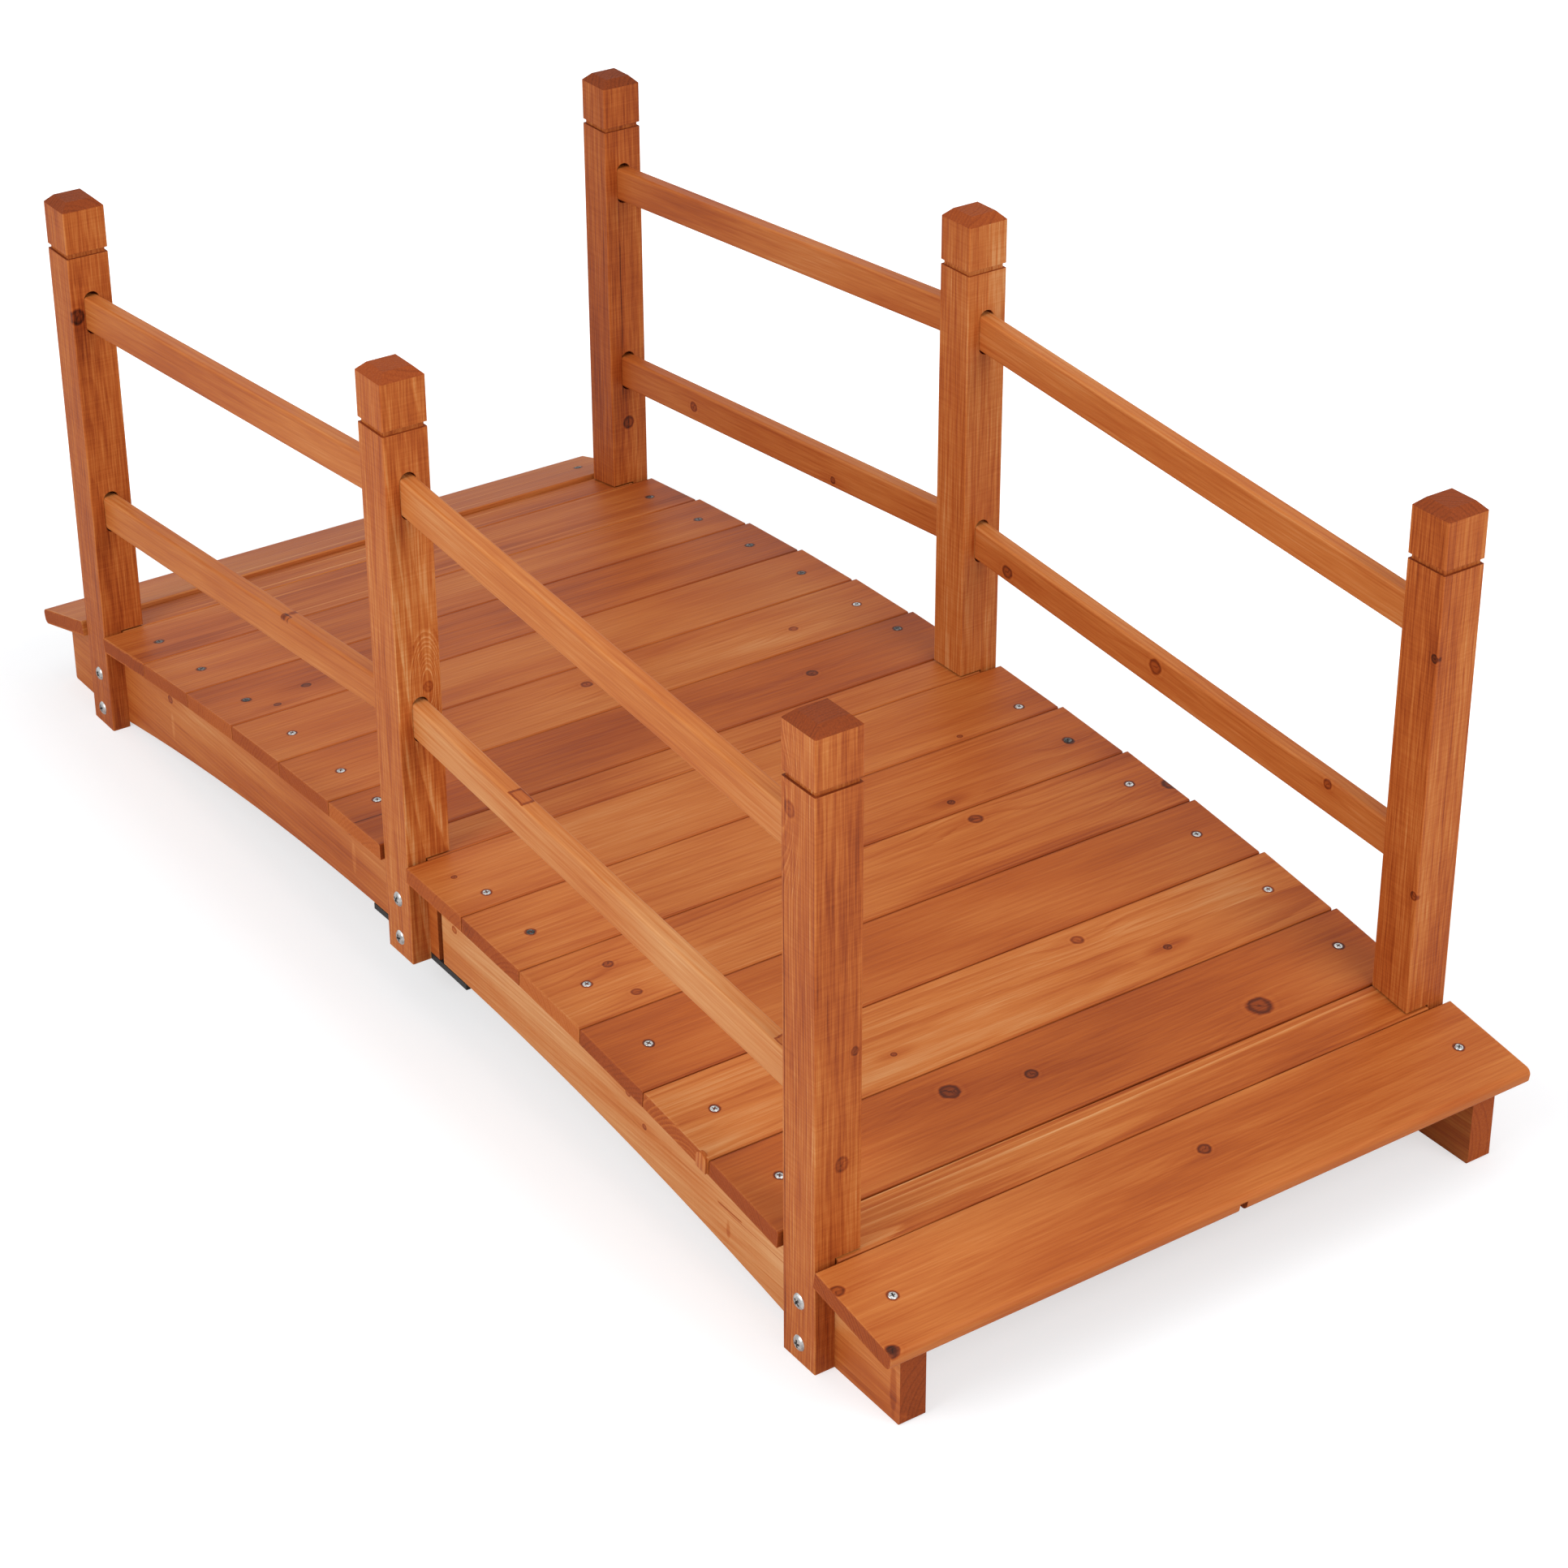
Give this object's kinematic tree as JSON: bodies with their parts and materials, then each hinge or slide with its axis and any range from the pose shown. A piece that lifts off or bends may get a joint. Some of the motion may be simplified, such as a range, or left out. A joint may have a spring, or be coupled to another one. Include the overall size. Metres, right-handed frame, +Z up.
{
  "type": "arched garden footbridge",
  "caption": "Small arched wooden moon bridge: boarded deck on two sawn arch stringers, lapped square posts and straight double rails on both sides.",
  "frame": {"origin": "ground level under the middle of the bridge, halfway along and halfway across", "axes": "+X along the bridge towards its right end, +Y across to the back railing, +Z up"},
  "size_m": [1.524, 0.67, 0.63],
  "materials": {
    "deck_wood": "satin stain",
    "post_wood": "satin stain",
    "rail_wood": "satin stain",
    "stringer_wood": "satin stain",
    "black_steel": "matte black"
  },
  "bodies": {
    "root": {"front_stringer_left": "stringer_wood", "front_left_top_rail": "rail_wood", "front_left_lower_rail": "rail_wood", "front_stringer_right": "stringer_wood", "front_right_top_rail": "rail_wood", "front_right_lower_rail": "rail_wood", "front_left_post": "post_wood", "front_middle_post": "post_wood", "front_right_post": "post_wood", "front_centre_block": "stringer_wood", "front_splice_plate": "black_steel", "back_stringer_left": "stringer_wood", "back_left_top_rail": "rail_wood", "back_left_lower_rail": "rail_wood", "back_stringer_right": "stringer_wood", "back_right_top_rail": "rail_wood", "back_right_lower_rail": "rail_wood", "back_left_post": "post_wood", "back_middle_post": "post_wood", "back_right_post": "post_wood", "back_centre_block": "stringer_wood", "back_splice_plate": "black_steel", "deck_board_01": "deck_wood", "deck_board_02": "deck_wood", "deck_board_03": "deck_wood", "deck_board_04": "deck_wood", "deck_board_05": "deck_wood", "deck_board_06": "deck_wood", "deck_board_07": "deck_wood", "deck_board_08": "deck_wood", "deck_board_09": "deck_wood", "deck_board_10": "deck_wood", "deck_board_11": "deck_wood", "deck_board_12": "deck_wood", "left_end_board": "deck_wood", "left_post_board": "deck_wood", "right_end_board": "deck_wood", "right_post_board": "deck_wood", "middle_board": "deck_wood"}
  },
  "joints": []
}
